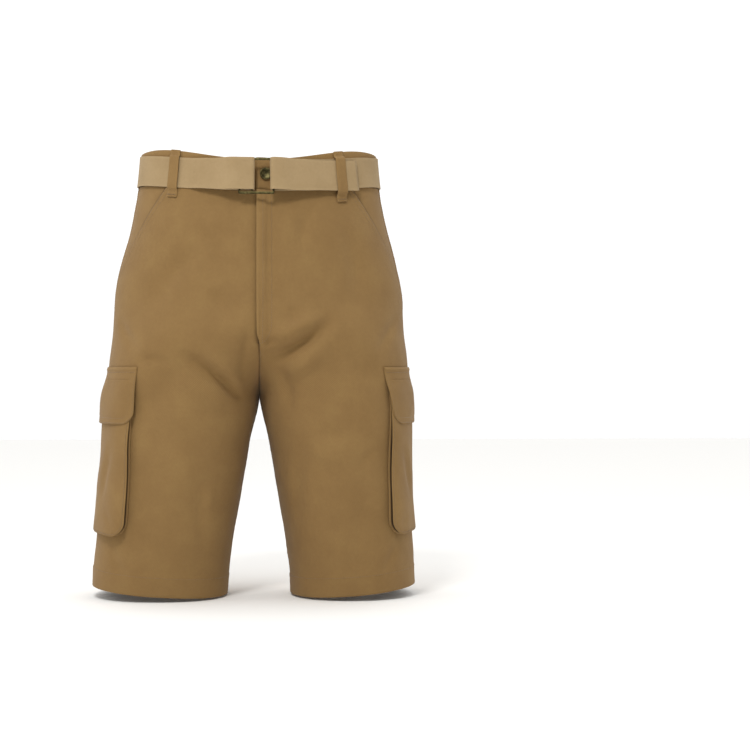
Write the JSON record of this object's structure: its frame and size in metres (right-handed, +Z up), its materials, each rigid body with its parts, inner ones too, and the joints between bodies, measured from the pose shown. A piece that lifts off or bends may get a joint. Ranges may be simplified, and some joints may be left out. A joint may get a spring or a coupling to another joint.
{
  "type": "belted cargo shorts",
  "caption": "Knee-length cotton twill cargo shorts filled out as worn, with slant pockets, flapped bellows cargo pockets and a webbing belt with an open frame buckle.",
  "frame": {"origin": "middle of the waist opening, at the height of the belt's centre line at the side seams", "axes": "+Z up to the waist, the front faces -Y, the wearer's left is +X"},
  "size_m": [0.4384, 0.2722, 0.5927],
  "materials": {
    "twill": "washed cotton twill, khaki tan, matt",
    "webbing": "woven cotton webbing, pale khaki",
    "button": "moulded polyester, tan",
    "antique_brass": "antique brass, dark and worn bright on its edges"
  },
  "bodies": {
    "root": {"front_left": "twill", "front_right": "twill", "back_left": "twill", "back_right": "twill", "hip_left": "twill", "hip_right": "twill", "waistband": "twill", "belt_loop_front_left": "twill", "belt_loop_front_right": "twill", "belt_loop_side_left": "twill", "belt_loop_side_right": "twill", "belt_loop_back": "twill", "cargo_pocket_left": "twill", "cargo_pocket_right": "twill", "cargo_gusset_left": "twill", "cargo_gusset_right": "twill", "cargo_flap_left": "twill", "cargo_flap_right": "twill", "welt_upper_left": "twill", "welt_lower_left": "twill", "welt_upper_right": "twill", "welt_lower_right": "twill", "back_button_left": "button", "back_button_right": "button", "waist_button": "antique_brass", "belt": "webbing", "buckle": "antique_brass"}
  },
  "joints": []
}
